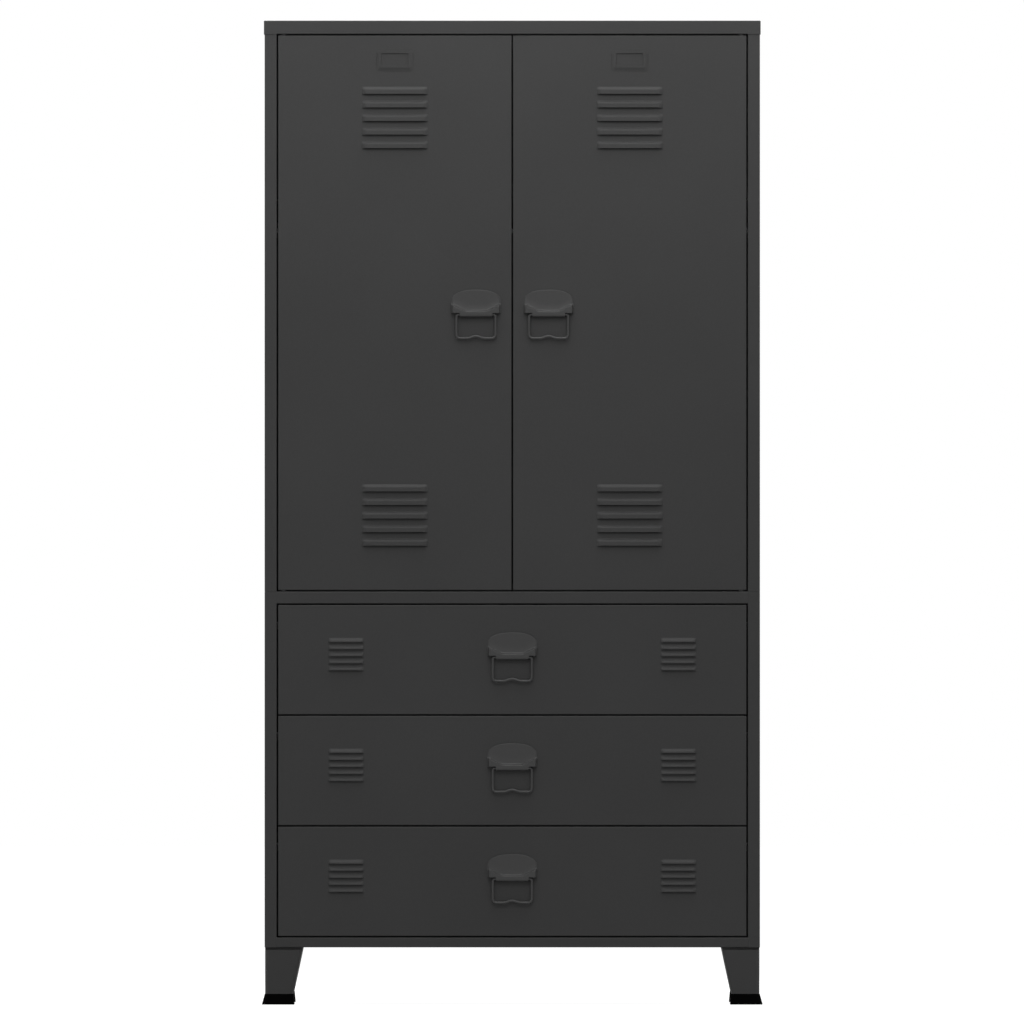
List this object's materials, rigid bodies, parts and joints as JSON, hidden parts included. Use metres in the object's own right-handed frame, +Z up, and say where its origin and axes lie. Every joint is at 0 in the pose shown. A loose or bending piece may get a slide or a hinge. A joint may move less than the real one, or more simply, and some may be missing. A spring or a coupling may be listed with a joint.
{
  "type": "steel wardrobe cabinet with drawers",
  "caption": "Tall sheet-steel cabinet on tapered legs: inset louvred doors over a stack of inset louvred drawers, each with a drop bail handle.",
  "frame": {"origin": "on the floor under the middle of the whole box, handles and feet included", "axes": "+Z up, +X to the right and +Y to the back, seen from the front"},
  "size_m": [0.9098, 0.5152, 1.788],
  "materials": {
    "powder_coat": "fine matt anthracite powder coat",
    "handle_coat": "satin anthracite paint on die-cast zinc",
    "rubber": "matt black moulded rubber",
    "zinc": "bright zinc plate",
    "chrome": "chrome-plated tube",
    "catch_plastic": "black moulded plastic"
  },
  "bodies": {
    "carcass": {"top_cap": "powder_coat", "side_upper_left": "powder_coat", "side_upper_right": "powder_coat", "side_lower_left": "powder_coat", "side_lower_right": "powder_coat", "back_upper": "powder_coat", "back_lower": "powder_coat", "middle_panel": "powder_coat", "bottom_panel": "powder_coat", "head_rail": "powder_coat", "door_catch": "catch_plastic", "shelf": "powder_coat", "hanging_rail": "chrome", "rail_socket_left": "zinc", "rail_socket_right": "zinc", "shelf_angle_left": "zinc", "shelf_angle_right": "zinc", "leg_front_left": "powder_coat", "leg_front_right": "powder_coat", "leg_rear_left": "powder_coat", "leg_rear_right": "powder_coat", "foot_front_left": "rubber", "foot_front_right": "rubber", "foot_rear_left": "rubber", "foot_rear_right": "rubber", "door_pin_lower_left": "zinc", "door_pin_lower_right": "zinc", "door_pin_upper_left": "zinc", "door_pin_upper_right": "zinc", "runner_1_left": "zinc", "runner_1_right": "zinc", "runner_2_left": "zinc", "runner_2_right": "zinc", "runner_3_left": "zinc", "runner_3_right": "zinc"},
    "door_left": {"door_panel_left": "powder_coat", "door_stiffener_left": "powder_coat", "card_holder_left": "powder_coat", "handle_plate_door_left": "handle_coat"},
    "door_left_bail": {"handle_bail_door_left": "handle_coat"},
    "door_right": {"door_panel_right": "powder_coat", "door_stiffener_right": "powder_coat", "card_holder_right": "powder_coat", "handle_plate_door_right": "handle_coat"},
    "door_right_bail": {"handle_bail_door_right": "handle_coat"},
    "drawer_1": {"drawer_front_1": "powder_coat", "drawer_tray_1": "powder_coat", "drawer_back_1": "powder_coat", "handle_plate_drawer_1": "handle_coat"},
    "drawer_1_bail": {"handle_bail_drawer_1": "handle_coat"},
    "drawer_2": {"drawer_front_2": "powder_coat", "drawer_tray_2": "powder_coat", "drawer_back_2": "powder_coat", "handle_plate_drawer_2": "handle_coat"},
    "drawer_2_bail": {"handle_bail_drawer_2": "handle_coat"},
    "drawer_3": {"drawer_front_3": "powder_coat", "drawer_tray_3": "powder_coat", "drawer_back_3": "powder_coat", "handle_plate_drawer_3": "handle_coat"},
    "drawer_3_bail": {"handle_bail_drawer_3": "handle_coat"}
  },
  "joints": [
    {"name": "door_left_hinge", "type": "hinge", "parent": "carcass", "child": "door_left", "pos_m": [-0.4156, -0.2423, 1.257], "axis": [0, 0, -1], "range_deg": [0, 110]},
    {"name": "door_left_bail_swing", "type": "hinge", "parent": "door_left", "child": "door_left_bail", "pos_m": [-0.066, -0.2531, 1.254], "axis": [-1, 0, 0], "range_deg": [0, 90]},
    {"name": "door_right_hinge", "type": "hinge", "parent": "carcass", "child": "door_right", "pos_m": [0.4156, -0.2423, 1.257], "axis": [0, 0, 1], "range_deg": [0, 110]},
    {"name": "door_right_bail_swing", "type": "hinge", "parent": "door_right", "child": "door_right_bail", "pos_m": [0.066, -0.2531, 1.254], "axis": [-1, 0, 0], "range_deg": [0, 90]},
    {"name": "drawer_1_slide", "type": "slide", "parent": "carcass", "child": "drawer_1", "axis": [0, -1, 0], "range_m": [0, 0.32]},
    {"name": "drawer_1_bail_swing", "type": "hinge", "parent": "drawer_1", "child": "drawer_1_bail", "pos_m": [0, -0.2531, 0.6312], "axis": [-1, 0, 0], "range_deg": [0, 90]},
    {"name": "drawer_2_slide", "type": "slide", "parent": "carcass", "child": "drawer_2", "axis": [0, -1, 0], "range_m": [0, 0.32]},
    {"name": "drawer_2_bail_swing", "type": "hinge", "parent": "drawer_2", "child": "drawer_2_bail", "pos_m": [0, -0.2531, 0.4298], "axis": [-1, 0, 0], "range_deg": [0, 90]},
    {"name": "drawer_3_slide", "type": "slide", "parent": "carcass", "child": "drawer_3", "axis": [0, -1, 0], "range_m": [0, 0.32]},
    {"name": "drawer_3_bail_swing", "type": "hinge", "parent": "drawer_3", "child": "drawer_3_bail", "pos_m": [0, -0.2531, 0.2284], "axis": [-1, 0, 0], "range_deg": [0, 90]}
  ]
}
